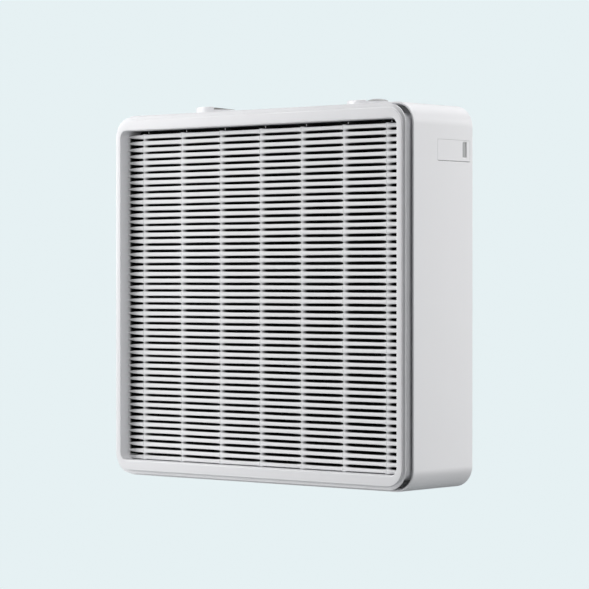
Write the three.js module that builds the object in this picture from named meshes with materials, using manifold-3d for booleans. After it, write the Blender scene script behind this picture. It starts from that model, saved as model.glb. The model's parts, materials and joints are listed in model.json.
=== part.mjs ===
// A wall-hung heat recovery ventilation unit: a rounded sleeve housing with a pleated filter
// cassette in front, a cross-flow heat exchanger, two fans and two dial-operated dampers inside.
// Millimetres. X is to the right, Y points into the wall, Z is up. The origin is the middle of
// the face that rests on the wall, so the whole unit stands at negative Y.
import * as THREE from "three";
import { mergeVertices } from "three/addons/utils/BufferGeometryUtils.js";
import Module from "manifold-3d";

const wasm = await Module();
wasm.setup();

// ---------------------------------------------------------------- driving dimensions
const WIDTH = 408;
const HEIGHT = 391.5;
const HOUSING_DEPTH = 98.6;
const WALL = 2.5;
const HOUSING_R = 22.5;
const GAP = 0.3;

const FRONT_Y = -110.4;
const RIM_W = 397;
const RIM_H = 380;
const RIM_R = 19;
const LEDGE_W = 401;
const LEDGE_H = 387;
const LEDGE_R = 21;
const LEDGE_SETBACK = 3;
const LEDGE_THICK = 1.5;
const OPENING_W = 382.5;
const OPENING_H = 358;
const OPENING_R = 8;
const CASSETTE_WALL = 2.5;

const CREST_Y = -98.4;
const MEDIA_BACK_Y = -78.4;
const PLEAT_PITCH = 7.117;
const PLEAT_COUNT = 50;
const FIRST_GROOVE_Z = 176.2;
const CREST_SHARE = 0.62;
const GROOVE_DEPTH = 15;

const NET_W = 372;
const NET_H = 348;
const NET_THICK = 0.8;
const NET_BORDER = 3.5;
const NET_CELLS = 6;

const COLLAR_CLEAR = 0.8;
const COLLAR_WALL = 2;
const COLLAR_FRONT_Y = -101.5;

const DECK_FRONT_Y = -74;
const DECK_THICK = 2;
const CHAMBER_FRONT_Y = DECK_FRONT_Y + DECK_THICK;
const CHAMBER_BACK_Y = -22;
const PLATE_THICK = 3;

const CORE_X = -40;
const CORE_SIDE = 142;
const CORE_HALF = CORE_SIDE / Math.SQRT2;
const BAFFLE = 4;
const RAIL_LEG = 11;
const RAIL_TIP_WIDTH = 2.8;
const TRAY_LEFT = -150;
const TRAY_HEIGHT = 12;
const TRAY_WALL = 2;
const DAMPER_WALL = 6;

const DIAL_X = 106;
const DIAL_Y = -47.4;
const DIAL_R = 23;
const DIAL_TOP = HEIGHT / 2 + 5;
const GRIP_HEIGHT = 3.3;
const GRIP_WIDTH = 16;
const GRIP_END = 20;
const GRIP_TIP = 1;
const STEP_TALL = 3.2;
const STEP_LOW = 1.4;
const STEP_EDGE = -3.5;
const GRIP_TURN = (40 * Math.PI) / 180;
const GRIP_START = STEP_EDGE + GAP;
const SHAFT_R = 3;
const VANE_LOW = 60;
const VANE_HIGH = 114;
const VANE_HALF = 21;

const SPIGOT_X = 150;
const SPIGOT_Z = 70;
const SPIGOT_R = 40;
const SPIGOT_WALL = 2;
const SPIGOT_OUT = 12;
const SCREW_OUT = 12;
const SCREW_R = 2.2;
const SCREW_HEAD_R = 4.6;
const SCREW_HOLE_R = 2.8;
const SCREW_WELL_R = 6;
const GLAND_X = 170;
const GLAND_Z = 135;
const GLAND_R = 6;
const GLAND_NUT_R = 9;
const CORD_R = 3.4;

const SUPPLY_FAN = { x: 98, z: -96 };
const EXHAUST_FAN = { x: 28, z: 128 };
const OUTLET_R = 34;
const FAN_R = 46;
const SCROLL_R = 54;
const SCROLL_WALL = 2;
const BLADES = 20;
const HUB_R = 14;
const AXLE_R = 2.5;
const FAN_CAP_R = 10;

const HATCH_FRONT_Y = -59.6;
const HATCH_BACK_Y = -4.6;
const HATCH_LOW = 137.4;
const HATCH_HIGH = 159.6;
const SLOT_BACK_Y = -9;
const SLOT_FRONT_Y = -16.2;
const SLOT_LOW = 141.2;
const SLOT_HIGH = 157.9;
const PULL_DEPTH = 1.2;
const HATCH_EDGE = 0.5;
const HATCH_THICK = 3;
const HATCH_PIN_R = 0.7;
const HATCH_PIN_X = WIDTH / 2 - HATCH_THICK / 2;
const HATCH_PIN_Y = HATCH_FRONT_Y + HATCH_EDGE + HATCH_THICK / 2;
const SHELF_Z = 117;

const INNER_X = WIDTH / 2 - WALL;
const INNER_Z = HEIGHT / 2 - WALL;

// ---------------------------------------------------------------- materials
function paint(color, roughness, metalness = 0) {
  return new THREE.MeshStandardMaterial({ color, roughness, metalness });
}
const WHITE = paint(0xe9ebea, 0.42);
const PAPER = paint(0xf1f2f0, 0.9);
const BEAD = paint(0xe6e4da, 0.35);
const FOAM = paint(0x4a4c4e, 0.95);
const GREY = paint(0x9a9c9b, 0.5);
const DARK = paint(0x2b2c2d, 0.55);
const STEEL = paint(0xb9bcbf, 0.35, 0.9);
const CORE = paint(0xc9ced2, 0.5, 0.6);
const BOARD = paint(0x1f6a3f, 0.6);

// ---------------------------------------------------------------- shapes
// A rounded rectangle in the plane, centred on (cx, cy).
function roundedRect(width, height, radius, cx = 0, cy = 0) {
  const x = width / 2;
  const y = height / 2;
  const shape = new THREE.Shape();
  shape.moveTo(cx - x + radius, cy - y);
  shape.lineTo(cx + x - radius, cy - y);
  shape.absarc(cx + x - radius, cy - y + radius, radius, -Math.PI / 2, 0);
  shape.lineTo(cx + x, cy + y - radius);
  shape.absarc(cx + x - radius, cy + y - radius, radius, 0, Math.PI / 2);
  shape.lineTo(cx - x + radius, cy + y);
  shape.absarc(cx - x + radius, cy + y - radius, radius, Math.PI / 2, Math.PI);
  shape.lineTo(cx - x, cy - y + radius);
  shape.absarc(cx - x + radius, cy - y + radius, radius, Math.PI, 1.5 * Math.PI);
  return shape;
}

// An outline drawn in X and Z, made solid from frontY back to backY.
function plateXZ(shape, frontY, backY, segments = 6) {
  const geometry = new THREE.ExtrudeGeometry(shape, {
    depth: backY - frontY,
    bevelEnabled: false,
    curveSegments: segments,
  });
  geometry.rotateX(Math.PI / 2);
  geometry.translate(0, backY, 0);
  return geometry;
}

function box(x0, x1, y0, y1, z0, z1) {
  const geometry = new THREE.BoxGeometry(x1 - x0, y1 - y0, z1 - z0);
  geometry.translate((x0 + x1) / 2, (y0 + y1) / 2, (z0 + z1) / 2);
  return geometry;
}

function discZ(radius, x, y, z0, z1, segments = 24) {
  const geometry = new THREE.CylinderGeometry(radius, radius, z1 - z0, segments);
  geometry.rotateX(Math.PI / 2);
  geometry.translate(x, y, (z0 + z1) / 2);
  return geometry;
}

function discY(radius, x, z, y0, y1, segments = 24) {
  const geometry = new THREE.CylinderGeometry(radius, radius, y1 - y0, segments);
  geometry.translate(x, (y0 + y1) / 2, z);
  return geometry;
}

function discX(radius, y, z, x0, x1, segments = 10) {
  const geometry = new THREE.CylinderGeometry(radius, radius, x1 - x0, segments);
  geometry.rotateZ(Math.PI / 2);
  geometry.translate((x0 + x1) / 2, y, z);
  return geometry;
}

// A ring about the Y axis from a closed profile of [radius, y] pairs.
function ringY(profile, x, z, segments = 28) {
  const points = profile.map(([radius, y]) => new THREE.Vector2(radius, y));
  points.push(points[0].clone());
  const geometry = new THREE.LatheGeometry(points, segments);
  geometry.translate(x, 0, z);
  return geometry;
}

// ---------------------------------------------------------------- cutting and joining
function toSolid(geometry) {
  const plain = geometry.clone();
  plain.deleteAttribute("normal");
  plain.deleteAttribute("uv");
  const merged = mergeVertices(plain, 1e-4);
  return new wasm.Manifold(new wasm.Mesh({
    numProp: 3,
    vertProperties: new Float32Array(merged.attributes.position.array),
    triVerts: new Uint32Array(merged.index.array),
  }));
}

function toGeometry(solid) {
  const mesh = solid.getMesh();
  const geometry = new THREE.BufferGeometry();
  geometry.setAttribute("position", new THREE.BufferAttribute(mesh.vertProperties, 3));
  geometry.setIndex(new THREE.BufferAttribute(mesh.triVerts, 1));
  geometry.computeVertexNormals();
  return geometry;
}

function cut(base, ...tools) {
  let solid = toSolid(base);
  for (const tool of tools) solid = solid.subtract(toSolid(tool));
  return toGeometry(solid);
}

function join(base, ...others) {
  let solid = toSolid(base);
  for (const other of others) solid = solid.add(toSolid(other));
  return toGeometry(solid);
}

function clip(base, room) {
  return toGeometry(toSolid(base).intersect(toSolid(room)));
}

const unit = new THREE.Group();
unit.name = "heat_recovery_unit";

function addPart(name, geometry, material) {
  const mesh = new THREE.Mesh(geometry, material);
  mesh.name = name;
  unit.add(mesh);
}

// ---------------------------------------------------------------- housing and back
// The sleeve is open in front and behind; two dial shafts and the hatch opening pierce it.
function housing() {
  const outer = plateXZ(roundedRect(WIDTH, HEIGHT, HOUSING_R), -HOUSING_DEPTH, 0, 8);
  const inner = plateXZ(
    roundedRect(2 * INNER_X, 2 * INNER_Z, HOUSING_R - WALL), -HOUSING_DEPTH - 1, 1, 8);
  const hole = WALL + 4;
  const tools = [-DIAL_X, DIAL_X].map((x) =>
    discZ(SHAFT_R + GAP, x, DIAL_Y, HEIGHT / 2 - hole, HEIGHT / 2 + 1));
  tools.push(box(INNER_X - 2, WIDTH / 2 + 1, HATCH_FRONT_Y, HATCH_BACK_Y, HATCH_LOW, HATCH_HIGH));
  tools.push(discZ(HATCH_PIN_R + 0.25, HATCH_PIN_X, HATCH_PIN_Y, HATCH_LOW - 4, HATCH_HIGH + 4, 12));
  return cut(outer, inner, ...tools);
}

const WALL_SCREWS = [[-170, 160], [60, 20], [-170, -160], [170, -160]];

function backPlate() {
  const size = [2 * (INNER_X - GAP), 2 * (INNER_Z - GAP)];
  const plate = plateXZ(roundedRect(...size, HOUSING_R - WALL - GAP), -PLATE_THICK, 0, 8);
  const holes = [-SPIGOT_X, SPIGOT_X].map((x) => discY(SPIGOT_R + GAP, x, SPIGOT_Z, -5, 5, 32));
  holes.push(discY(GLAND_R + GAP, GLAND_X, GLAND_Z, -5, 5, 16));
  for (const [x, z] of WALL_SCREWS) holes.push(discY(SCREW_HOLE_R, x, z, -5, 5, 12));
  return cut(plate, ...holes);
}

function rearLiner() {
  const size = [2 * (INNER_X - 2 * GAP), 2 * (INNER_Z - 2 * GAP)];
  const block = plateXZ(
    roundedRect(...size, HOUSING_R - WALL - GAP), CHAMBER_BACK_Y + GAP, -PLATE_THICK - GAP, 8);
  const holes = [-SPIGOT_X, SPIGOT_X].map((x) => discY(SPIGOT_R + 4, x, SPIGOT_Z, -30, 5, 32));
  holes.push(box(150, WIDTH, -30, 5, SHELF_Z, HEIGHT));
  for (const [x, z] of WALL_SCREWS) holes.push(discY(SCREW_WELL_R, x, z, -30, 5, 12));
  return cut(block, ...holes);
}

// A duct tube with an inner flange that bears on the front of the back plate.
function spigot(x) {
  const inner = SPIGOT_R - SPIGOT_WALL;
  const flangeBack = -PLATE_THICK - GAP;
  const profile = [
    [inner, SPIGOT_OUT], [inner, flangeBack - 12], [SPIGOT_R, flangeBack - 12],
    [SPIGOT_R, flangeBack - 2], [SPIGOT_R + 3, flangeBack - 2], [SPIGOT_R + 3, flangeBack],
    [SPIGOT_R, flangeBack], [SPIGOT_R, SPIGOT_OUT],
  ];
  return ringY(profile, x, SPIGOT_Z, 36);
}

function wallScrew(x, z) {
  const head = discY(SCREW_HEAD_R, x, z, -PLATE_THICK - 3.3, -PLATE_THICK - GAP, 12);
  return join(head, discY(SCREW_R, x, z, -PLATE_THICK - 1, SCREW_OUT, 10));
}

function cableGland() {
  const body = discY(GLAND_R, GLAND_X, GLAND_Z, -9, 3, 16);
  const nut = discY(GLAND_NUT_R, GLAND_X, GLAND_Z, -7.5, -PLATE_THICK - GAP, 6);
  return cut(join(body, nut), discY(CORD_R, GLAND_X, GLAND_Z, -12, 6, 12));
}

// ---------------------------------------------------------------- front: collar and cassette
const CASSETTE_W = OPENING_W + 2 * CASSETTE_WALL;
const CASSETTE_H = OPENING_H + 2 * CASSETTE_WALL;
const COLLAR_IN_W = CASSETTE_W + 2 * COLLAR_CLEAR;
const COLLAR_IN_H = CASSETTE_H + 2 * COLLAR_CLEAR;
const COLLAR_OUT_W = COLLAR_IN_W + 2 * COLLAR_WALL;
const COLLAR_OUT_H = COLLAR_IN_H + 2 * COLLAR_WALL;

function innerCollar() {
  const outer = plateXZ(roundedRect(COLLAR_OUT_W, COLLAR_OUT_H, 12), COLLAR_FRONT_Y, DECK_FRONT_Y - GAP);
  const inner = plateXZ(roundedRect(COLLAR_IN_W, COLLAR_IN_H, 11), COLLAR_FRONT_Y - 1, 0);
  return cut(outer, inner);
}

function filterFrame() {
  const rimBack = FRONT_Y + LEDGE_SETBACK;
  const rim = plateXZ(roundedRect(RIM_W, RIM_H, RIM_R), FRONT_Y, rimBack + 1, 8);
  const ledge = plateXZ(roundedRect(LEDGE_W, LEDGE_H, LEDGE_R), rimBack, rimBack + LEDGE_THICK, 8);
  const sleeve = plateXZ(roundedRect(CASSETTE_W, CASSETTE_H, 10), rimBack, MEDIA_BACK_Y, 6);
  const hollow = plateXZ(roundedRect(OPENING_W, OPENING_H, OPENING_R), FRONT_Y - 1, 0, 6);
  return cut(join(rim, ledge, sleeve), hollow);
}

// The pleats: level crests with narrow dark grooves between them, all joined along the back.
function filterMedia() {
  const half = OPENING_H / 2 - GAP;
  const grooveHalf = (PLEAT_PITCH * (1 - CREST_SHARE)) / 2;
  const grooveY = CREST_Y + GROOVE_DEPTH;
  const shape = new THREE.Shape();
  shape.moveTo(MEDIA_BACK_Y + GAP, -half);
  shape.lineTo(MEDIA_BACK_Y + GAP, half);
  shape.lineTo(CREST_Y, half);
  for (let i = 0; i < PLEAT_COUNT; i += 1) {
    const z = FIRST_GROOVE_Z - i * PLEAT_PITCH;
    shape.lineTo(CREST_Y, z + grooveHalf);
    shape.lineTo(grooveY, z);
    shape.lineTo(CREST_Y, z - grooveHalf);
  }
  shape.lineTo(CREST_Y, -half);
  const width = OPENING_W - 2 * GAP;
  const geometry = new THREE.ExtrudeGeometry(shape, { depth: width, bevelEnabled: false });
  // Outline x is Y and outline y is Z, so the extrusion turns to run along X.
  const turn = new THREE.Matrix4().set(0, 0, 1, -width / 2, 1, 0, 0, 0, 0, 1, 0, 0, 0, 0, 0, 1);
  geometry.applyMatrix4(turn);
  const room = roundedRect(width, 2 * half, OPENING_R - GAP);
  return clip(geometry, plateXZ(room, CREST_Y - 1, MEDIA_BACK_Y + 1));
}

function flatRing(outW, outH, border, frontY, backY) {
  const outer = plateXZ(roundedRect(outW, outH, 9), frontY, backY, 4);
  const inner = plateXZ(roundedRect(outW - 2 * border, outH - 2 * border, 6), frontY - 1, backY + 1, 4);
  return cut(outer, inner);
}

function filterNet() {
  const y = MEDIA_BACK_Y + GAP;
  const frame = box(-NET_W / 2, NET_W / 2, y, y + NET_THICK, -NET_H / 2, NET_H / 2);
  const stepX = (NET_W - NET_BORDER) / NET_CELLS;
  const stepZ = (NET_H - NET_BORDER) / NET_CELLS;
  const windows = [];
  for (let i = 0; i < NET_CELLS; i += 1) {
    for (let j = 0; j < NET_CELLS; j += 1) {
      const x = -NET_W / 2 + NET_BORDER + i * stepX;
      const z = -NET_H / 2 + NET_BORDER + j * stepZ;
      windows.push(box(x, x + stepX - NET_BORDER, y - 1, y + 2, z, z + stepZ - NET_BORDER));
    }
  }
  return cut(frame, ...windows);
}

// The deck closes the front of the machine room. It has the supply outlet inside the collar
// and, outside the collar, the slots where room air enters on the lower left.
function midDeck() {
  const size = [2 * (INNER_X - GAP), 2 * (INNER_Z - GAP)];
  const plate = plateXZ(
    roundedRect(...size, HOUSING_R - WALL - GAP), DECK_FRONT_Y, CHAMBER_FRONT_Y, 8);
  const side = COLLAR_OUT_W / 2 + 0.6;
  const below = -COLLAR_OUT_H / 2 - 0.6;
  const outlet = discY(OUTLET_R, SUPPLY_FAN.x, SUPPLY_FAN.z, -80, -60, 28);
  const left = box(-INNER_X + 1.5, -side, -80, -60, -165, -12);
  const bottom = box(-170, -50, -80, -60, -INNER_Z + 1.5, below);
  return cut(plate, outlet, left, bottom);
}

// ---------------------------------------------------------------- heat exchanger and air walls
function diamond(half) {
  const shape = new THREE.Shape();
  shape.moveTo(CORE_X + half, 0);
  shape.lineTo(CORE_X, half);
  shape.lineTo(CORE_X - half, 0);
  shape.lineTo(CORE_X, -half);
  return shape;
}

// The plate stack, with the open channels of every second layer cut into two of its faces.
function heatExchangerCore() {
  const front = CHAMBER_FRONT_Y + GAP;
  const back = CHAMBER_BACK_Y - GAP;
  const tools = [];
  const layers = 8;
  const pitch = (back - front) / layers;
  for (let i = 0; i < layers; i += 1) {
    const rising = i % 2 === 0;
    const slot = new THREE.BoxGeometry(CORE_SIDE - 24, pitch * 0.5, 8);
    const y = front + (i + 0.5) * pitch;
    for (const side of [-1, 1]) {
      const tool = slot.clone();
      tool.translate(0, 0, side * CORE_SIDE / 2);
      tool.rotateY(rising ? Math.PI / 4 : -Math.PI / 4);
      tool.translate(CORE_X, y, 0);
      tools.push(tool);
    }
  }
  return cut(plateXZ(diamond(CORE_HALF), front, back), ...tools);
}

// A right-angled edge rail that caps one corner of the plate stack.
function coreRail(angle) {
  const out = CORE_HALF + GAP * 1.5;
  const leg = RAIL_LEG;
  const turned = RAIL_TIP_WIDTH / 2;
  const shape = new THREE.Shape();
  shape.moveTo(out, 0);
  shape.lineTo(out - leg, leg);
  shape.lineTo(out - leg + turned, leg + turned);
  shape.lineTo(out + RAIL_TIP_WIDTH, 0);
  shape.lineTo(out - leg + turned, -leg - turned);
  shape.lineTo(out - leg, -leg);
  const geometry = plateXZ(shape, CHAMBER_FRONT_Y + GAP, CHAMBER_BACK_Y - GAP);
  geometry.rotateY(-angle);
  geometry.translate(CORE_X, 0, 0);
  return geometry;
}

const RAIL_TIP = CORE_HALF + GAP * 1.5 + RAIL_TIP_WIDTH + GAP;

function baffle(x0, x1, z0, z1) {
  return box(x0, x1, CHAMBER_FRONT_Y + GAP, CHAMBER_BACK_Y - GAP, z0, z1);
}

function condensateTray() {
  const front = CHAMBER_FRONT_Y + GAP;
  const back = CHAMBER_BACK_Y - GAP;
  const floor = -INNER_Z + GAP;
  const right = CORE_X - BAFFLE / 2 - GAP;
  const outer = box(TRAY_LEFT, right, front, back, floor, floor + TRAY_HEIGHT);
  const inner = box(TRAY_LEFT + TRAY_WALL, right - TRAY_WALL, front + TRAY_WALL, back - TRAY_WALL,
    floor + TRAY_WALL, floor + TRAY_HEIGHT + 1);
  return cut(outer, inner);
}

// The wall that carries one damper: a tall panel at the dial's X with a window for the vane.
function damperWall(x, low, high) {
  const front = CHAMBER_FRONT_Y + GAP;
  const back = CHAMBER_BACK_Y - GAP;
  const half = DAMPER_WALL / 2;
  const panel = box(x - half, x + half, front, back, low, high);
  const window = box(x - 5, x + 5, DIAL_Y - VANE_HALF - 1.2, DIAL_Y + VANE_HALF + 1.2,
    VANE_LOW - 1.5, VANE_HIGH + 1.5);
  const bore = discZ(SHAFT_R + GAP, x, DIAL_Y, VANE_LOW - 8, high + 1, 16);
  return cut(panel, window, bore);
}

function damperShaft(x) {
  return discZ(SHAFT_R, x, DIAL_Y, VANE_LOW - 6, HEIGHT / 2 + 0.8, 16);
}

// The vane stands along X at rest, open to the air, and is clamped round the shaft.
function damperVane(x) {
  const plate = box(x - VANE_HALF, x + VANE_HALF, DIAL_Y - 1, DIAL_Y + 1, VANE_LOW, VANE_HIGH);
  const hub = discZ(SHAFT_R + 2, x, DIAL_Y, VANE_LOW, VANE_HIGH, 16);
  return cut(join(plate, hub), discZ(SHAFT_R + GAP, x, DIAL_Y, VANE_LOW - 1, VANE_HIGH + 1, 16));
}

// A low round knob with its left part raised by a step; the shaft ends in a blind hole underneath.
function dial(x, step) {
  const bottom = HEIGHT / 2 + GAP;
  const disc = discZ(DIAL_R, x, DIAL_Y, bottom, DIAL_TOP + step, 40);
  const lowHalf = new THREE.BoxGeometry(2 * DIAL_R, 4 * DIAL_R, 2 * step);
  lowHalf.translate(DIAL_R + STEP_EDGE, 0, 0);
  lowHalf.rotateZ(GRIP_TURN);
  lowHalf.translate(x, DIAL_Y, DIAL_TOP + step);
  const bore = discZ(SHAFT_R + GAP, x, DIAL_Y, bottom - 1, HEIGHT / 2 + 1.1, 16);
  return cut(disc, lowHalf, bore);
}

// A raised grip on the knob: its side outline is drawn along the grip and made solid across it.
function dialGrip(x, drawOutline) {
  const shape = new THREE.Shape();
  drawOutline(shape);
  const geometry = new THREE.ExtrudeGeometry(shape, {
    depth: GRIP_WIDTH,
    bevelEnabled: false,
    curveSegments: 8,
  });
  geometry.translate(0, 0, -GRIP_WIDTH / 2);
  geometry.rotateX(Math.PI / 2);
  geometry.rotateZ(GRIP_TURN);
  geometry.translate(x, DIAL_Y, DIAL_TOP + GAP);
  return geometry;
}

function wedgeOutline(shape) {
  shape.moveTo(GRIP_START, 0);
  shape.lineTo(GRIP_END, 0);
  shape.lineTo(GRIP_END, GRIP_TIP);
  shape.lineTo(GRIP_START, GRIP_HEIGHT);
}

function domeOutline(shape) {
  shape.moveTo(GRIP_START, 0);
  shape.lineTo(GRIP_END, 0);
  shape.quadraticCurveTo((GRIP_START + GRIP_END) / 2, 2 * GRIP_HEIGHT, GRIP_START, 0);
}

// ---------------------------------------------------------------- fans
const FAN_FRONT_Y = CHAMBER_FRONT_Y + 1.5;
const FAN_BACK_Y = CHAMBER_BACK_Y - 1.5;

// A cup-shaped scroll, open in front, with an outlet duct on one side.
function fanScroll(fan, outlet) {
  const wall = SCROLL_WALL;
  const shell = discY(SCROLL_R, fan.x, fan.z, FAN_FRONT_Y, FAN_BACK_Y, 32);
  const room = discY(SCROLL_R - wall, fan.x, fan.z, FAN_FRONT_Y - 1, FAN_BACK_Y - wall, 32);
  const [x0, x1, z0, z1] = outlet;
  const duct = box(x0, x1, FAN_FRONT_Y, FAN_BACK_Y, z0, z1);
  const airway = box(x0 - 2, x1 + 2, FAN_FRONT_Y + wall, FAN_BACK_Y - wall, z0 + wall, z1 - wall);
  return cut(join(shell, duct), room, airway);
}

function fanMotor(fan) {
  const base = discY(20, fan.x, fan.z, FAN_BACK_Y - 4, FAN_BACK_Y - 2 - GAP, 20);
  const axle = discY(AXLE_R, fan.x, fan.z, FAN_BACK_Y - 30, FAN_BACK_Y - 3, 12);
  return join(base, axle);
}

// Curved blades between a back disc and a front ring.
function fanImpeller(fan) {
  const back = FAN_BACK_Y - 6;
  const front = FAN_FRONT_Y + 5;
  const disc = discY(FAN_R, fan.x, fan.z, back - 2, back, 36);
  const ringProfile = [[FAN_R, front], [FAN_R, front + 3], [FAN_R - 8, front + 3], [FAN_R - 8, front]];
  const ring = ringY(ringProfile, fan.x, fan.z, 36);
  const hub = discY(HUB_R, fan.x, fan.z, back - 24, back - 1, 20);
  const blades = [];
  for (let i = 0; i < BLADES; i += 1) {
    const blade = new THREE.BoxGeometry(9, back - front - 2, 1.2);
    blade.translate(0, (back + front) / 2, 0);
    blade.rotateY(0.5);
    blade.translate(FAN_R - 5, 0, 0);
    blade.rotateY((2 * Math.PI * i) / BLADES);
    blade.translate(fan.x, 0, fan.z);
    blades.push(blade);
  }
  const solid = join(disc, ring, hub, ...blades);
  return cut(solid, discY(AXLE_R + GAP, fan.x, fan.z, back - 30, back + 1, 12),
    discY(60, fan.x, fan.z, back, back + 5, 36));
}

function fanCap(fan) {
  const back = FAN_BACK_Y - 30 - GAP;
  return discY(FAN_CAP_R, fan.x, fan.z, back - 2.5, back, 20);
}

// ---------------------------------------------------------------- electrics and hatch
// The cover turns about an upright pin inside its rounded front edge, so it clears the wall.
// A shallow finger pull is sunk into its face near the back edge.
function hatch() {
  const outer = WIDTH / 2;
  const low = HATCH_LOW + HATCH_EDGE;
  const high = HATCH_HIGH - HATCH_EDGE;
  const cover = box(outer - HATCH_THICK, outer, HATCH_PIN_Y, HATCH_BACK_Y - HATCH_EDGE, low, high);
  const roundEdge = discZ(HATCH_THICK / 2, HATCH_PIN_X, HATCH_PIN_Y, low, high, 16);
  const slotMid = (SLOT_FRONT_Y + SLOT_BACK_Y) / 2;
  const slotHalf = (SLOT_BACK_Y - SLOT_FRONT_Y) / 2;
  const floor = outer - PULL_DEPTH;
  const slot = box(floor, outer + 1, SLOT_FRONT_Y, SLOT_BACK_Y, SLOT_LOW + slotHalf, SLOT_HIGH);
  const slotEnd = discX(slotHalf, slotMid, SLOT_LOW + slotHalf, floor, outer + 2, 20);
  const bore = discZ(HATCH_PIN_R + 0.2, HATCH_PIN_X, HATCH_PIN_Y, low - 1, high + 1, 12);
  return cut(join(cover, roundEdge), slot, slotEnd, bore);
}

function hatchPin() {
  return discZ(HATCH_PIN_R, HATCH_PIN_X, HATCH_PIN_Y, HATCH_LOW - 3, HATCH_HIGH + 3, 12);
}

function terminalBlock() {
  const block = box(160, 184, -24, -8, 148, 172);
  const wells = [];
  for (let i = 0; i < 3; i += 1) wells.push(discX(2.2, -20 + i * 5, 160, 178, 190));
  return cut(block, ...wells);
}

// ---------------------------------------------------------------- assembly
addPart("housing", housing(), WHITE);
addPart("back_plate", backPlate(), WHITE);
addPart("rear_liner", rearLiner(), FOAM);
addPart("intake_spigot", spigot(-SPIGOT_X), GREY);
addPart("exhaust_spigot", spigot(SPIGOT_X), GREY);
addPart("cable_gland", cableGland(), DARK);
WALL_SCREWS.forEach(([x, z], i) => addPart(`wall_screw_${i + 1}`, wallScrew(x, z), STEEL));

addPart("inner_collar", innerCollar(), GREY);
addPart("mid_deck", midDeck(), GREY);
addPart("filter_frame", filterFrame(), WHITE);
addPart("filter_media", filterMedia(), PAPER);
addPart("filter_net", filterNet(), BEAD);
const sealBack = DECK_FRONT_Y - GAP;
addPart("filter_seal", flatRing(CASSETTE_W - 1, CASSETTE_H - 1, 4, MEDIA_BACK_Y + 1.6, sealBack), FOAM);

addPart("heat_exchanger_core", heatExchangerCore(), CORE);
["right", "top", "left", "bottom"].forEach((side, i) =>
  addPart(`core_rail_${side}`, coreRail((i * Math.PI) / 2), STEEL));
const half = BAFFLE / 2;
addPart("baffle_top", baffle(CORE_X - half, CORE_X + half, RAIL_TIP, INNER_Z - GAP), FOAM);
addPart("baffle_bottom", baffle(CORE_X - half, CORE_X + half, -INNER_Z + GAP, -RAIL_TIP), FOAM);
addPart("baffle_left", baffle(-INNER_X + GAP, CORE_X - RAIL_TIP, -half, half), FOAM);
addPart("baffle_right", baffle(CORE_X + RAIL_TIP, INNER_X - GAP, -half, half), FOAM);
addPart("condensate_tray", condensateTray(), DARK);

addPart("intake_damper_wall", damperWall(-DIAL_X, 40, INNER_Z - GAP), FOAM);
addPart("exhaust_damper_wall", damperWall(DIAL_X, half + GAP, INNER_Z - GAP), FOAM);
addPart("intake_damper_shaft", damperShaft(-DIAL_X), STEEL);
addPart("exhaust_damper_shaft", damperShaft(DIAL_X), STEEL);
addPart("intake_damper_vane", damperVane(-DIAL_X), DARK);
addPart("exhaust_damper_vane", damperVane(DIAL_X), DARK);
addPart("intake_dial", dial(-DIAL_X, STEP_TALL), WHITE);
addPart("exhaust_dial", dial(DIAL_X, STEP_LOW), WHITE);
addPart("intake_dial_grip", dialGrip(-DIAL_X, wedgeOutline), GREY);
addPart("exhaust_dial_grip", dialGrip(DIAL_X, domeOutline), GREY);

addPart("supply_fan_scroll", fanScroll(SUPPLY_FAN, [96, 176, -150, -122]), DARK);
addPart("exhaust_fan_scroll", fanScroll(EXHAUST_FAN, [30, 83, 76, 104]), DARK);
for (const [name, fan] of [["supply", SUPPLY_FAN], ["exhaust", EXHAUST_FAN]]) {
  addPart(`${name}_fan_motor`, fanMotor(fan), STEEL);
  addPart(`${name}_fan_impeller`, fanImpeller(fan), DARK);
  addPart(`${name}_fan_cap`, fanCap(fan), STEEL);
}

addPart("electronics_shelf", box(109.5, INNER_X - GAP, CHAMBER_FRONT_Y + GAP, CHAMBER_BACK_Y - GAP,
  SHELF_Z, SHELF_Z + 2), GREY);
addPart("circuit_board", box(112, 190, -70, -68.4, 121, 182), BOARD);
addPart("power_supply", box(118, 158, -66, -40, 121, 150), STEEL);
addPart("terminal_block", terminalBlock(), DARK);
addPart("hatch", hatch(), WHITE);
addPart("hatch_pin", hatchPin(), STEEL);
addPart("intake_sensor", discZ(2.5, -125, -60, 20, 34, 12), STEEL);
addPart("extract_sensor", discZ(2.5, -160, -60, -40, -26, 12), STEEL);

export default unit;
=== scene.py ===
"""A wall-hung heat recovery unit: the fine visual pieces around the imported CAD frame."""
import json
import math
import random

import bmesh
import bpy
from mathutils import Matrix, Vector


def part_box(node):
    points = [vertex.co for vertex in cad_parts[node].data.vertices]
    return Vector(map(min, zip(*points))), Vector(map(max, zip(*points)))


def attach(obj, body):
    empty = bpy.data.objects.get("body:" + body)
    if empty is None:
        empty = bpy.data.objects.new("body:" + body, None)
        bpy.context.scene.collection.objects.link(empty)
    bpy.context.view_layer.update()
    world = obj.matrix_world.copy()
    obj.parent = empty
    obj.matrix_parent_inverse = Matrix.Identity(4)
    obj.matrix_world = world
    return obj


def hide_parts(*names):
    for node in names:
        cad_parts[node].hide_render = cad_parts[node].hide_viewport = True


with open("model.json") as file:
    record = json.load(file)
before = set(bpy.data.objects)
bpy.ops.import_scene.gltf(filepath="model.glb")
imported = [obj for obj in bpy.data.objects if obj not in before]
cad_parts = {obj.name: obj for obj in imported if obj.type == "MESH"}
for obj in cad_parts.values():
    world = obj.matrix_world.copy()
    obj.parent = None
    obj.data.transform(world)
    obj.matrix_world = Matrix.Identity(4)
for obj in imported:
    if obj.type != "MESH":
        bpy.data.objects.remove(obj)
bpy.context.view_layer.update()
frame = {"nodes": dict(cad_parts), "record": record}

MM = 0.001
random.seed(7)


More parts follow.
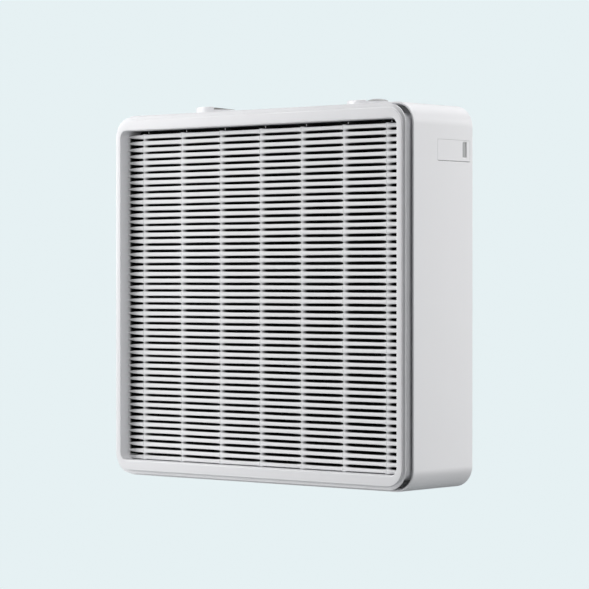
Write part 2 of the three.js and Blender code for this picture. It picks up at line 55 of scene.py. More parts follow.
# ------------------------------------------------------------------ places, from the CAD frame
def spans(node):
    """Lowest and highest corner of a CAD node, in millimetres."""
    low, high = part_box(node)
    return low / MM, high / MM


HOUSING_LOW, HOUSING_HIGH = spans("housing")
FRAME_LOW, FRAME_HIGH = spans("filter_frame")
MEDIA_LOW, MEDIA_HIGH = spans("filter_media")
HATCH_LOW, HATCH_HIGH = spans("hatch")
PULL_DEPTH = 1.2

HOUSING_W = HOUSING_HIGH.x - HOUSING_LOW.x
HOUSING_H = HOUSING_HIGH.z - HOUSING_LOW.z
HOUSING_R = 22.5
HOUSING_WALL = 2.5
FRONT_Y = FRAME_LOW.y
LEDGE_Y = FRONT_Y + 3
LEDGE_BACK_Y = LEDGE_Y + 1.5
RIM_W, RIM_H, RIM_R = 397, 380, 19
OPENING_W, OPENING_H, OPENING_R = 382.5, 358, 8
SLEEVE_WALL = 2.5
SHADOW_GROOVE = 1.8

PLEATS = 51
PLEAT_PITCH = 7.117
BEADS = 7
BEAD_PITCH = 56.3
OPEN_HALF = 1.64
PINCHED_HALF = 0.8
OPEN_DRIFT = 0.14
LEFT_FLARE = 1.3
FLARE_REACH = 5.5


# ------------------------------------------------------------------ mesh helpers
def new_object(name, mesh, body, material, replaced=()):
    """Links a finished mesh as a piece that rides on a CAD body."""
    piece = bpy.data.objects.new(name, mesh)
    bpy.context.scene.collection.objects.link(piece)
    mesh.materials.clear()
    mesh.materials.append(material)
    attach(piece, body)
    if replaced:
        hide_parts(*replaced)
    return piece


def finish_mesh(bm, name, sharp_deg=35):
    """Turns a bmesh in millimetres into a smooth-shaded mesh in metres."""
    bmesh.ops.recalc_face_normals(bm, faces=bm.faces)
    bmesh.ops.scale(bm, vec=(MM, MM, MM), verts=bm.verts)
    mesh = bpy.data.meshes.new(name)
    bm.to_mesh(mesh)
    bm.free()
    for polygon in mesh.polygons:
        polygon.use_smooth = True
    mesh.set_sharp_from_angle(angle=math.radians(sharp_deg))
    return mesh


def rounded_loop(half_w, half_h, radius, y, steps=12):
    """Points of a rounded rectangle in X and Z at depth y."""
    points = []
    corners = [(1, -1, -90), (1, 1, 0), (-1, 1, 90), (-1, -1, 180)]
    for side_x, side_z, start in corners:
        cx = side_x * (half_w - radius)
        cz = side_z * (half_h - radius)
        for i in range(steps + 1):
            a = math.radians(start + 90 * i / steps)
            points.append(Vector((cx + radius * math.cos(a), y, cz + radius * math.sin(a))))
    return points


def filleted(profile, closed=True, steps=4):
    """Rounds the corners of a profile of (half width, half height, corner radius, y, fillet)."""
    out = []
    count = len(profile)
    for i, entry in enumerate(profile):
        here = Vector(entry[:4])
        fillet = entry[4]
        if fillet == 0 or (not closed and i in (0, count - 1)):
            out.append(here)
            continue
        ends = []
        for other in (profile[i - 1], profile[(i + 1) % count]):
            step = Vector(other[:4]) - here
            run = math.hypot(step[0], step[3]) or step.length
            ends.append(here + step * min(0.5, fillet / run))
        for k in range(steps + 1):
            t = k / steps
            out.append(ends[0] * (1 - t) ** 2 + here * 2 * t * (1 - t) + ends[1] * t * t)
    return out


def ring_shell(profile, closed=True, steps=12, cx=0.0, cz=0.0):
    """A bmesh swept from a profile round a rounded rectangle."""
    bm = bmesh.new()
    loops = []
    for half_w, half_h, radius, y in filleted(profile, closed):
        points = rounded_loop(half_w, half_h, radius, y, steps)
        loops.append([bm.verts.new(p + Vector((cx, 0, cz))) for p in points])
    pairs = list(zip(loops, loops[1:] + loops[:1])) if closed else list(zip(loops, loops[1:]))
    for a, b in pairs:
        for i in range(len(a)):
            j = (i + 1) % len(a)
            bm.faces.new((a[i], a[j], b[j], b[i]))
    if not closed:
        bm.faces.new(loops[0])
        bm.faces.new(list(reversed(loops[-1])))
    return bm


def lathe(profile, centre, axis="Y", segments=64, closed=True):
    """A bmesh turned from (radius, along) points round the Y or Z axis through centre."""
    bm = bmesh.new()
    rings = []
    for radius, along in profile:
        ring = []
        for i in range(segments):
            a = 2 * math.pi * i / segments
            u, v = radius * math.cos(a), radius * math.sin(a)
            offset = Vector((u, along, v)) if axis == "Y" else Vector((u, v, along))
            ring.append(bm.verts.new(offset + Vector(centre)))
        rings.append(ring)
    pairs = list(zip(rings, rings[1:]))
    if closed:
        pairs.append((rings[-1], rings[0]))
    for a, b in pairs:
        for i in range(segments):
            j = (i + 1) % segments
            bm.faces.new((a[i], a[j], b[j], b[i]))
    if not closed:
        bm.faces.new(rings[0])
        bm.faces.new(list(reversed(rings[-1])))
    return bm


def rounded_box(low, high, bevel, segments=3):
    """A bmesh block with every edge rounded."""
    bm = bmesh.new()
    bmesh.ops.create_cube(bm, size=1)
    low, high = Vector(low), Vector(high)
    size = high - low
    bmesh.ops.scale(bm, vec=size, verts=bm.verts)
    bmesh.ops.translate(bm, vec=(low + high) / 2, verts=bm.verts)
    bmesh.ops.bevel(bm, geom=bm.edges[:], offset=bevel, segments=segments, affect="EDGES",
                    profile=0.5)
    return bm


def cutter(bm, name):
    """A temporary object that a boolean cuts with."""
    bmesh.ops.recalc_face_normals(bm, faces=bm.faces)
    mesh = finish_mesh(bm, name)
    tool = bpy.data.objects.new(name, mesh)
    bpy.context.scene.collection.objects.link(tool)
    return tool


def carve(mesh, tools, bevel=0.0):
    """Cuts the tools out of the mesh, rounds the new edges a little and returns the result."""
    work = bpy.data.objects.new("carve_work", mesh)
    bpy.context.scene.collection.objects.link(work)
    for tool in tools:
        cut = work.modifiers.new("cut", "BOOLEAN")
        cut.operation = "DIFFERENCE"
        cut.solver = "EXACT"
        cut.object = tool
    if bevel:
        edge = work.modifiers.new("edge", "BEVEL")
        edge.width = bevel * MM
        edge.segments = 2
        edge.limit_method = "ANGLE"
        edge.angle_limit = math.radians(40)
        edge.harden_normals = False
    flat = work.modifiers.new("flat", "WEIGHTED_NORMAL")
    flat.keep_sharp = True
    depsgraph = bpy.context.evaluated_depsgraph_get()
    result = bpy.data.meshes.new_from_object(work.evaluated_get(depsgraph))
    for item in [work, *tools]:
        bpy.data.objects.remove(item)
    return result


# ------------------------------------------------------------------ materials
def noise(nodes, links, coords, scale, detail=3.0):
    node = nodes.new("ShaderNodeTexNoise")
    node.inputs["Scale"].default_value = scale
    node.inputs["Detail"].default_value = detail
    links.new(coords.outputs["Object"], node.inputs["Vector"])
    return node


def mapped(nodes, links, source, low, high):
    node = nodes.new("ShaderNodeMapRange")
    node.inputs["To Min"].default_value = low
    node.inputs["To Max"].default_value = high
    links.new(source, node.inputs["Value"])
    return node


def surface(name, colour, roughness, grain=1800.0, grain_depth=0.00002, mottle=0.03,
            metallic=0.0, specular=0.5, coat=0.0, stretch=None):
    """A procedural material: a slightly uneven colour, uneven roughness and a fine grain."""
    material = bpy.data.materials.new(name)
    material.use_nodes = True
    nodes, links = material.node_tree.nodes, material.node_tree.links
    shader = nodes["Principled BSDF"]
    shader.inputs["Metallic"].default_value = metallic
    shader.inputs["Specular IOR Level"].default_value = specular
    shader.inputs["Coat Weight"].default_value = coat
    coords = nodes.new("ShaderNodeTexCoord")
    broad = noise(nodes, links, coords, 14.0)
    ramp = nodes.new("ShaderNodeMix")
    ramp.data_type = "RGBA"
    dark = [c * (1 - mottle) for c in colour]
    light = [min(1.0, c * (1 + mottle)) for c in colour]
    ramp.inputs["A"].default_value = (*dark, 1)
    ramp.inputs["B"].default_value = (*light, 1)
    links.new(broad.outputs["Fac"], ramp.inputs["Factor"])
    links.new(ramp.outputs["Result"], shader.inputs["Base Color"])
    fine = noise(nodes, links, coords, grain, 4.0)
    if stretch:
        shape = nodes.new("ShaderNodeMapping")
        shape.inputs["Scale"].default_value = stretch
        links.new(coords.outputs["Object"], shape.inputs["Vector"])
        links.new(shape.outputs["Vector"], fine.inputs["Vector"])
    rough = mapped(nodes, links, fine.outputs["Fac"], roughness - 0.05, roughness + 0.05)
    links.new(rough.outputs["Result"], shader.inputs["Roughness"])
    bump = nodes.new("ShaderNodeBump")
    bump.inputs["Distance"].default_value = grain_depth
    bump.inputs["Strength"].default_value = 0.6
    links.new(fine.outputs["Fac"], bump.inputs["Height"])
    links.new(bump.outputs["Normal"], shader.inputs["Normal"])
    return material


WHITE = surface("white_moulding", (0.80, 0.803, 0.822), 0.42, grain=1500, grain_depth=0.00003, mottle=0.012)
FRAME_WHITE = surface("frame_moulding", (0.80, 0.803, 0.822), 0.4, grain=1700, grain_depth=0.00002,
                      mottle=0.012)
PAPER = surface("filter_paper", (0.90, 0.903, 0.915), 0.85, grain=900, grain_depth=0.00012, mottle=0.035,
                specular=0.2, stretch=(1.0, 3.0, 3.0))


def paint_fold_shade(material, start_y, end_y, painted_shade_colour):
    """Paints shade into a material: its colour falls to the given dark colour between two depths, in place of
    the shade deep inside the folds.
    """
    nodes, links = material.node_tree.nodes, material.node_tree.links
    shader = nodes["Principled BSDF"]
    base = shader.inputs["Base Color"].links[0].from_socket
    coords = nodes.new("ShaderNodeTexCoord")
    parts = nodes.new("ShaderNodeSeparateXYZ")
    links.new(coords.outputs["Object"], parts.inputs["Vector"])
    fall = nodes.new("ShaderNodeMapRange")
    fall.interpolation_type = "SMOOTHSTEP"
    fall.inputs["From Min"].default_value = start_y * MM
    fall.inputs["From Max"].default_value = end_y * MM
    links.new(parts.outputs["Y"], fall.inputs["Value"])
    mix = nodes.new("ShaderNodeMix")
    mix.data_type = "RGBA"
    mix.inputs["B"].default_value = (*painted_shade_colour, 1)
    links.new(fall.outputs["Result"], mix.inputs["Factor"])
    links.new(base, mix.inputs["A"])
    links.new(mix.outputs["Result"], shader.inputs["Base Color"])


# Painted shade: the paper's colour falls to near black from 0.8 to 5 mm into each fold, standing in for the
# shade between the pleats.
paint_fold_shade(PAPER, MEDIA_LOW.y + 0.8, MEDIA_LOW.y + 5.0, (0.003, 0.003, 0.003))
GLUE = surface("hot_melt_glue", (0.70, 0.703, 0.71), 0.45, grain=300, grain_depth=0.00005, mottle=0.03)
FOAM = surface("black_foam", (0.03, 0.03, 0.033), 0.95, grain=420, grain_depth=0.0006, mottle=0.3,
               specular=0.2)
GREY = surface("grey_plastic", (0.40, 0.41, 0.415), 0.5, grain=1200, grain_depth=0.00004, mottle=0.03)
GRIP = surface("grip_grey", (0.16, 0.16, 0.155), 0.45, grain=1300, grain_depth=0.00003, mottle=0.05)
LENS = surface("lens_grey", (0.42, 0.425, 0.43), 0.3, grain=1300, grain_depth=0.00002, mottle=0.03)
DARK = surface("dark_plastic", (0.025, 0.025, 0.027), 0.5, grain=1200, grain_depth=0.00004, mottle=0.08)
STEEL = surface("bright_steel", (0.58, 0.59, 0.60), 0.3, grain=600, grain_depth=0.00002, mottle=0.05,
                metallic=1.0, stretch=(1.0, 1.0, 14.0))
PLATES = surface("exchanger_sheet", (0.66, 0.68, 0.70), 0.38, grain=500, grain_depth=0.00004,
                 mottle=0.05, metallic=0.9, stretch=(1.0, 30.0, 1.0))
BOARD = surface("circuit_board_green", (0.02, 0.14, 0.06), 0.35, grain=700, grain_depth=0.00003,
                mottle=0.15)

BY_SLOT = {
    "white_housing": WHITE, "white_frame": FRAME_WHITE, "filter_paper": PAPER, "black_foam": FOAM,
    "grey_plastic": GREY, "grip_grey": GRIP, "dark_plastic": DARK, "bright_steel": STEEL,
    "exchanger_plates": PLATES, "green_board": BOARD,
}
for part in frame["record"]["subparts"]:
    cad = frame["nodes"][part["node"]]
    cad.data.materials.clear()
    cad.data.materials.append(BY_SLOT[part["material_slot"]])


# ------------------------------------------------------------------ housing and back
def make_housing():
    w, h, r = HOUSING_W / 2, HOUSING_H / 2, HOUSING_R
    t = HOUSING_WALL
    lip = 1.8
    front, back = HOUSING_LOW.y, HOUSING_HIGH.y
    profile = [
        (w, h, r, front, 0.6), (w, h, r, back, 0.7),
        (w - t, h - t, r - t, back, 0.4), (w - t, h - t, r - t, front + 6, 0.5),
        (w - lip, h - lip, r - lip, front + 4, 0.5), (w - lip, h - lip, r - lip, front, 0.3),
    ]
    mesh = finish_mesh(ring_shell(profile, steps=24), "housing_shell")
    side = HOUSING_HIGH.x
    tools = [cutter(rounded_box((side - 6, HATCH_LOW.y - 0.2, HATCH_LOW.z - 0.5),
                                (side + 4, HATCH_HIGH.y + 0.25, HATCH_HIGH.z + 0.12), 0.1), "hatch_cut")]
    for node in ("intake_damper_shaft", "exhaust_damper_shaft"):
        low, high = spans(node)
        mid = (low + high) / 2
        hole = lathe([(3.3, -8), (3.3, 8)], (mid.x, mid.y, HOUSING_HIGH.z), "Z", 32, closed=False)
        tools.append(cutter(hole, "shaft_cut"))
    mesh = carve(mesh, tools, bevel=0.12)
    new_object("housing_shell", mesh, "body", WHITE, ["housing"])


make_housing()


def make_back_plate():
    """The plate that rests on the wall, holed for ducts, cord and screws, with shallow pressed ribs."""
    low, high = spans("back_plate")
    w, h, r = high.x, high.z, HOUSING_R - HOUSING_WALL
    profile = [(w, h, r, low.y, 0), (w, h, r, high.y - 0.4, 0), (w - 0.4, h - 0.4, r - 0.4, high.y, 0)]
    mesh = finish_mesh(ring_shell(profile, closed=False, steps=16), "rear_plate")
    tools = []
    for node, radius in PLATE_HOLES.items():
        near, far = spans(node)
        mid = (near + far) / 2
        bore = lathe([(radius, -12), (radius, 12)], (mid.x, 0, mid.z), "Y", 48, closed=False)
        tools.append(cutter(bore, "plate_hole"))
    for z in (-140, -100, -60, -20):
        rib = rounded_box((-150, high.y - 0.7, z - 5), (150, high.y + 2, z + 5), 0.6)
        tools.append(cutter(rib, "plate_rib"))
    new_object("rear_plate", carve(mesh, tools, bevel=0.2), "body", WHITE, ["back_plate"])


def make_spigot(name, node):
    """A duct tube with a rounded lip, a seal groove near its end and a flange behind the plate."""
    low, high = spans(node)
    mid = (low + high) / 2
    flange = (high.x - low.x) / 2
    outer = flange - 3
    inner = outer - 2
    back, front, end = -3.3, -5.3, high.y
    profile = [
        (inner, end - 0.6), (inner + 0.5, end), (outer - 0.5, end), (outer, end - 0.6),
        (outer, end - 3.4), (outer - 0.8, end - 3.7), (outer - 0.8, end - 5.9), (outer, end - 6.2),
        (outer, back), (flange, back), (flange, front), (outer, front), (outer, low.y), (inner, low.y),
    ]
    mesh = finish_mesh(lathe(profile, (mid.x, 0, mid.z), "Y", 96), name)
    new_object(name, mesh, "body", GREY, [node])


def make_screw(name, node):
    """A pan-head screw with a cross recess, a ridged shank and a tapered tip."""
    low, high = spans(node)
    mid = (low + high) / 2
    head = (high.x - low.x) / 2
    seat, tip = -3.3, high.y
    profile = [(0.01, low.y), (head - 1.6, low.y), (head - 0.5, low.y + 0.7), (head, low.y + 1.6),
               (head, seat), (1.75, seat)]
    y = seat + 0.8
    while y < tip - 3.2:
        profile += [(1.6, y), (2.15, y + 0.6), (1.6, y + 1.2)]
        y += 1.3
    profile += [(1.5, tip - 3), (0.01, tip)]
    mesh = finish_mesh(lathe(profile, (mid.x, 0, mid.z), "Y", 32, closed=False), name)
    tools = []
    for half_x, half_z in ((2.6, 0.5), (0.5, 2.6)):
        slot = rounded_box((mid.x - half_x, low.y - 1, mid.z - half_z),
                           (mid.x + half_x, low.y + 1.3, mid.z + half_z), 0.15)
        tools.append(cutter(slot, "recess"))
    new_object(name, carve(mesh, tools), "body", STEEL, [node])


def make_gland():
    """A ridged cord gland held by a six-sided nut on the inner face of the plate."""
    low, high = spans("cable_gland")
    mid = (low + high) / 2
    profile = [(3.4, high.y - 0.5), (4.2, high.y), (5.4, high.y), (6.0, high.y - 0.6)]
    y = high.y - 1.4
    while y > low.y + 1.4:
        profile += [(6.0, y), (5.6, y - 0.35), (6.0, y - 0.7)]
        y -= 1.1
    profile += [(6.0, low.y + 0.5), (5.4, low.y), (3.4, low.y)]
    mesh = finish_mesh(lathe(profile, (mid.x, 0, mid.z), "Y", 48), "cord_gland")
    new_object("cord_gland", mesh, "body", DARK, ["cable_gland"])
    nut = [(6.2, -3.5), (8.6, -3.5), (8.9, -3.9), (8.9, -7.1), (8.6, -7.5), (6.2, -7.5)]
    mesh = finish_mesh(lathe(nut, (mid.x, 0, mid.z), "Y", 6), "gland_nut", 20)
    new_object("gland_nut", mesh, "body", DARK)


PLATE_HOLES = {
    "intake_spigot": 40.3, "exhaust_spigot": 40.3, "cable_gland": 6.3,
    "wall_screw_1": 2.8, "wall_screw_2": 2.8, "wall_screw_3": 2.8, "wall_screw_4": 2.8,
}
make_back_plate()
make_spigot("intake_tube", "intake_spigot")
make_spigot("exhaust_tube", "exhaust_spigot")
for number in range(1, 5):
    make_screw(f"screw_{number}", f"wall_screw_{number}")
make_gland()


# ------------------------------------------------------------------ front frame
def make_front_frame():
    ow, oh, orr = OPENING_W / 2, OPENING_H / 2, OPENING_R
    rw, rh, rr = RIM_W / 2, RIM_H / 2, RIM_R
    lw, lh, lr = FRAME_HIGH.x, FRAME_HIGH.z, 21
    sw, sh, sr = ow + SLEEVE_WALL, oh + SLEEVE_WALL, 10
    back = FRAME_HIGH.y
    g = SHADOW_GROOVE
    profile = [
        (ow, oh, orr, back, 0.0), (ow, oh, orr, FRONT_Y, 0.9),
        (rw, rh, rr, FRONT_Y, 0.9), (rw, rh, rr, LEDGE_Y - 1.2, 0.25),
        (rw - g, rh - g, rr - g, LEDGE_Y - 1.2, 0.1), (rw - g, rh - g, rr - g, LEDGE_Y, 0.1),
        (lw, lh, lr, LEDGE_Y, 0.4), (lw, lh, lr, LEDGE_BACK_Y, 0.4),
        (sw, sh, sr, LEDGE_BACK_Y, 0.4), (sw, sh, sr, back, 0.0),
    ]
    mesh = finish_mesh(ring_shell(profile, steps=20), "front_frame", 50)
    new_object("front_frame", mesh, "filter_cassette", FRAME_WHITE, ["filter_frame"])


make_front_frame()


# ------------------------------------------------------------------ pleated paper
def bead_distance(x):
    """Signed distance to the nearest glue bead."""
    index = max(0, min(BEADS - 1, round(x / BEAD_PITCH) + BEADS // 2))
    return x - (index - BEADS // 2) * BEAD_PITCH


def pleat_columns():
    """X stations, close together near each bead and at the two ends."""
    half = (MEDIA_HIGH.x - MEDIA_LOW.x) / 2
    offsets = [0, 0.8, 1.6, 2.4, 3.3, 4.4, 5.8, 7.5, 9.5, 12, 16, 22]
    stations = {-half, half}
    for j in range(BEADS):
        centre = (j - BEADS // 2) * BEAD_PITCH
        for offset in offsets:
            stations.update((centre - offset, centre + offset))
    stations = sorted(s for s in stations if -half <= s <= half)
    return [s for i, s in enumerate(stations) if i == 0 or s - stations[i - 1] > 0.3]


def groove_half(x, jitter):
    """Half the width of the gap between two crests: pinched at a bead, spread at the left wall."""
    distance = bead_distance(x)
    reach = 1.1 if distance < 0 else 3.0
    pinch = math.exp(-((distance / reach) ** 2))
    flare = LEFT_FLARE * math.exp(-(x - MEDIA_LOW.x) / FLARE_REACH)
    full = OPEN_HALF + OPEN_DRIFT * x / MEDIA_HIGH.x + flare + jitter
    return full * (1 - pinch) + PINCHED_HALF * pinch


def groove_depth(distance):
    """How far the fold goes in; the glue makes a steep ramp of it on each side of a bead."""
    return 1.5 + 0.88 * abs(distance)


PLEAT_FIRST_Z = 176.2
PLEAT_JITTER = [random.uniform(-0.07, 0.07) for _ in range(PLEATS)]
PLEAT_SHIFT = [random.uniform(-0.06, 0.06) for _ in range(PLEATS)]
PLEAT_WAVE = [random.uniform(0, 2 * math.pi) for _ in range(PLEATS)]
LIP = 0.55
END_FOLD = 0.15
EDGE_FOLD = 9


def pleat_section(x, deepest=17.0):
    """Points (y, z) from top to bottom across all the folds at x, never more than deepest."""
    front, top = MEDIA_LOW.y, MEDIA_HIGH.z
    depth = min(groove_depth(bead_distance(x)), deepest)
    lip = front + LIP
    edge = min(max(depth, EDGE_FOLD), deepest)
    points = [(front + edge, top)]
    for i in range(PLEATS):
        z = PLEAT_FIRST_Z - i * PLEAT_PITCH + PLEAT_SHIFT[i] + 0.06 * math.sin(x / 21 + PLEAT_WAVE[i])
        half = groove_half(x, PLEAT_JITTER[i])
        crest = PLEAT_PITCH / 2 - half
        floor = edge if i in (0, PLEATS - 1) else depth
        shoulder = min(lip + 0.9, front + floor)
        down = [(front + 0.04, half + crest * 0.62), (front + 0.2, half + crest * 0.28),
                (lip, half + crest * 0.06), (shoulder, half), (front + floor, half * 0.35)]
        if i > 0:
            points += [(y, z + rise) for y, rise in down]
        if i < PLEATS - 1:
            points += [(y, z - rise) for y, rise in reversed(down)]
    points.append((front + edge, -top))
    return [(min(y, front + deepest), max(-top, min(top, z))) for y, z in points]


def make_pleats():
    back, top = MEDIA_HIGH.y, MEDIA_HIGH.z
    columns = pleat_columns()
    columns = [columns[0], columns[0] + END_FOLD, *columns[1:-1], columns[-1] - END_FOLD, columns[-1]]
    deepest = [0.3, *[17.0] * (len(columns) - 2), 0.3]
    bm = bmesh.new()
    grid = [[bm.verts.new((x, y, z)) for y, z in pleat_section(x, limit)]
            for x, limit in zip(columns, deepest)]
    rear = [[bm.verts.new((x, back, top)), bm.verts.new((x, back, -top))] for x in columns]
    for a, b in zip(grid, grid[1:]):
        for i in range(len(a) - 1):
            bm.faces.new((a[i], a[i + 1], b[i + 1], b[i]))
    for i in range(len(columns) - 1):
        bm.faces.new((rear[i][0], rear[i + 1][0], rear[i + 1][1], rear[i][1]))
        bm.faces.new((grid[i][0], grid[i + 1][0], rear[i + 1][0], rear[i][0]))
        bm.faces.new((grid[i][-1], rear[i][1], rear[i + 1][1], grid[i + 1][-1]))
    for k in (0, -1):
        bm.faces.new([*grid[k], rear[k][1], rear[k][0]])
    mesh = finish_mesh(bm, "pleat_sheet", 80)
    new_object("pleat_sheet", mesh, "filter_cassette", PAPER, ["filter_media"])


def make_bead(index):
    """A thread of glue laid across every crest, a little proud of the paper."""
    centre = (index - BEADS // 2) * BEAD_PITCH
    across = [(-0.7, -0.1), (-0.45, 0.03), (-0.2, 0.08), (0.2, 0.08), (0.45, 0.03), (0.7, -0.1)]
    section = pleat_section(centre)
    bm = bmesh.new()
    front = []
    for offset, proud in across:
        wander = [0.25 * math.sin(z / 9 + index * 2.1) for _, z in section]
        front.append([bm.verts.new((centre + offset + wander[i], y - proud, z))
                      for i, (y, z) in enumerate(section)])
    behind = [[bm.verts.new(v.co + Vector((0, 0.8, 0))) for v in row] for row in (front[0], front[-1])]
    rows = [*front, behind[1], behind[0], front[0]]
    for a, b in zip(rows, rows[1:]):
        for i in range(len(a) - 1):
            bm.faces.new((a[i], a[i + 1], b[i + 1], b[i]))
    for k in (0, -1):
        bm.faces.new([row[k] for row in rows[:-1]])
    mesh = finish_mesh(bm, f"glue_bead_{index + 1}", 80)
    new_object(f"glue_bead_{index + 1}", mesh, "filter_cassette", GLUE)


make_pleats()
for bead in range(BEADS):
    make_bead(bead)


# ------------------------------------------------------------------ knobs on top
GRIP_TURN = math.radians(40)
GRIP_END = 19.5
STEP_U = -3.5
STEP_TALL = 3.2
STEP_LOW = 1.4


def make_knob(name, node, body, step):
    """A low round knob whose left part stands one step higher than the rest."""
    low, high = spans(node)
    mid = (low + high) / 2
    radius = (high.x - low.x) / 2
    height = high.z - low.z
    profile = [
        (0.01, 0.0), (radius - 0.4, 0.0), (radius, 0.4), (radius, height - 0.9),
        (radius - 0.1, height - 0.5), (radius - 0.35, height - 0.2), (radius - 0.8, height - 0.04),
        (radius - 1.2, height), (0.01, height),
    ]
    mesh = finish_mesh(lathe(profile, (mid.x, mid.y, low.z), "Z", 96, closed=False), name)
    block = rounded_box((STEP_U, -2 * radius, 0), (2 * radius, 2 * radius, 2 * step), 0.3)
    bmesh.ops.rotate(block, cent=(0, 0, 0), matrix=Matrix.Rotation(GRIP_TURN, 3, "Z"), verts=block.verts)
    bmesh.ops.translate(block, vec=(mid.x, mid.y, high.z - step), verts=block.verts)
    mesh = carve(mesh, [cutter(block, "step_cut")], bevel=0.25)
    new_object(name, mesh, body, WHITE, [node])


def make_grip(name, node, knob_node, body, step, material, height_at):
    """A raised grip on a knob's low part, with its height along it given by height_at."""
    knob_low, knob_high = spans(knob_node)
    grip_top = spans(node)[1].z
    centre = (knob_low + knob_high) / 2
    start, end, half = STEP_U + 0.3, GRIP_END, 7.6
    base = knob_high.z - step - 0.1
    turn = Matrix.Rotation(GRIP_TURN, 3, "Z")
    steps, sides = 26, 14
    bm = bmesh.new()
    rows = []
    for i in range(steps + 1):
        u = start + (end - start) * i / steps
        rise = height_at(u) * (grip_top - base)
        plan = half * math.sqrt(max(0.02, 1 - (max(0, u - 8) / (end - 8)) ** 2))
        row = []
        for k in range(sides + 1):
            a = math.pi * k / sides
            spot = turn @ Vector((u, plan * math.cos(a), 0))
            row.append(bm.verts.new((centre.x + spot.x, centre.y + spot.y,
                                     base + 0.2 + (rise - 0.2) * math.sin(a) ** 0.5)))
        rows.append(row)
    for a, b in zip(rows, rows[1:]):
        for i in range(sides):
            bm.faces.new((a[i], a[i + 1], b[i + 1], b[i]))
        bm.faces.new((a[0], b[0], b[-1], a[-1]))
    bm.faces.new(rows[0])
    bm.faces.new(rows[-1])
    mesh = finish_mesh(bm, name, 50)
    new_object(name, mesh, body, material, [node])


make_knob("intake_knob", "intake_dial", "intake_damper", STEP_TALL)
make_knob("exhaust_knob", "exhaust_dial", "exhaust_damper", STEP_LOW)
make_grip("intake_knob_grip", "intake_dial_grip", "intake_dial", "intake_damper", STEP_TALL,
          GRIP, lambda u: 0.3 + 0.7 * (GRIP_END - u) / (GRIP_END - STEP_U))
make_grip("exhaust_knob_grip", "exhaust_dial_grip", "exhaust_dial", "exhaust_damper", STEP_LOW,
          LENS, lambda u: 0.1 + 0.9 * math.sqrt(max(0.0, 1 - ((u - 9) / 11.6) ** 2)))


# ------------------------------------------------------------------ hatch on the right side
def make_hatch():
    """The cover on the right side, with a finger pull sunk into it and a grey pad in the pull."""
    low, high = spans("hatch")
    mesh = finish_mesh(rounded_box(low, high, 0.12), "side_hatch")
    pull_low = Vector((high.x - PULL_DEPTH, high.y - 12.3, low.z + 3.3))
    pull_high = Vector((high.x + 3, high.y - 5.1, high.z - 1.2))
    mesh = carve(mesh, [cutter(rounded_box(pull_low, pull_high, 1.6, 5), "pull_cut")], bevel=0.2)
    new_object("side_hatch", mesh, "hatch_door", WHITE, ["hatch"])
    inset = Vector((0, 0.25, 0.25))
    pad_high = Vector((high.x - PULL_DEPTH + 0.4, pull_high.y, pull_high.z))
    pad = finish_mesh(rounded_box(pull_low - Vector((0.3, 0, 0)) + inset, pad_high - inset, 0.25), "pull_pad")
    new_object("pull_pad", pad, "hatch_door", GREY)


make_hatch()

# ------------------------------------------------------------------ stage, light and camera
BACKDROP = (0.792, 0.877, 0.896)
FLOOR_COLOUR = (0.36, 0.385, 0.395)
FLOOR_Z = -1.25


def make_floor():
    bm = bmesh.new()
    bmesh.ops.create_circle(bm, cap_ends=True, segments=96, radius=1.6)
    mesh = bpy.data.meshes.new("floor")
    bm.to_mesh(mesh)
    bm.free()
    floor = bpy.data.objects.new("floor", mesh)
    floor.location.z = FLOOR_Z
    mesh.materials.append(surface("floor_paint", FLOOR_COLOUR, 0.9, grain=60, grain_depth=0.0001,
                                  mottle=0.01, specular=0.1))
    bpy.context.scene.collection.objects.link(floor)


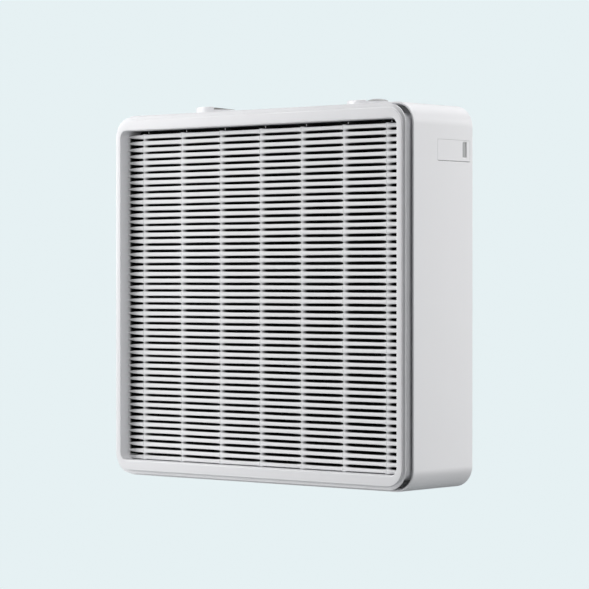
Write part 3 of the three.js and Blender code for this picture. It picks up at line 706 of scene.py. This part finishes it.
def make_world(strength):
    """A pale backdrop, with a weaker even light on everything that it surrounds."""
    world = bpy.data.worlds.new("studio")
    bpy.context.scene.world = world
    world.use_nodes = True
    nodes, links = world.node_tree.nodes, world.node_tree.links
    seen = nodes["Background"]
    seen.inputs["Color"].default_value = (*BACKDROP, 1)
    seen.inputs["Strength"].default_value = 1.0
    fill = nodes.new("ShaderNodeBackground")
    fill.inputs["Color"].default_value = (1.0, 0.99, 0.99, 1)
    fill.inputs["Strength"].default_value = strength
    ray = nodes.new("ShaderNodeLightPath")
    mix = nodes.new("ShaderNodeMixShader")
    links.new(ray.outputs["Is Camera Ray"], mix.inputs["Fac"])
    links.new(fill.outputs["Background"], mix.inputs[1])
    links.new(seen.outputs["Background"], mix.inputs[2])
    links.new(mix.outputs["Shader"], nodes["World Output"].inputs["Surface"])


def make_light(name, azimuth, elevation, distance, size, power):
    """A square soft box that faces the object. Azimuth 0 is in front and 90 is at the right."""
    data = bpy.data.lights.new(name, "AREA")
    data.shape = "RECTANGLE"
    data.size, data.size_y = size
    data.energy = power
    lamp = bpy.data.objects.new(name, data)
    a, e = math.radians(azimuth), math.radians(elevation)
    away = Vector((math.sin(a) * math.cos(e), -math.cos(a) * math.cos(e), math.sin(e)))
    lamp.location = away * distance
    lamp.rotation_mode = "QUATERNION"
    lamp.rotation_quaternion = away.to_track_quat("Z", "Y")
    lamp.visible_camera = False
    bpy.context.scene.collection.objects.link(lamp)


def make_camera():
    yaw, pitch = math.radians(40.455), math.radians(0.355)
    data = bpy.data.cameras.new("camera")
    data.sensor_width = 36
    data.lens = 161.05
    data.clip_end = 100
    camera = bpy.data.objects.new("camera", data)
    camera.location = (1.818, FRONT_Y * MM - 2.064, 0.0187)
    camera.rotation_euler = (math.pi / 2 - pitch, 0, yaw)
    bpy.context.scene.collection.objects.link(camera)
    bpy.context.scene.camera = camera


make_floor()
make_world(0.02)
make_light("key", -60, 16, 2.2, (1.4, 1.4), 46)
make_light("top_front", -20, 68, 2.0, (0.9, 0.9), 6)
make_light("low_left", -45, -28, 2.4, (1.0, 1.0), 19)
make_light("right", 60, 8, 2.6, (1.2, 1.2), 21.5)
make_light("rim", 150, 4, 2.0, (0.5, 1.6), 26.5)
make_light("top_back", 165, 68, 2.0, (1.0, 1.0), 20)
make_light("top_right", 100, 72, 2.0, (0.9, 0.9), 11.5)

make_camera()
bpy.context.scene.view_settings.view_transform = "Standard"
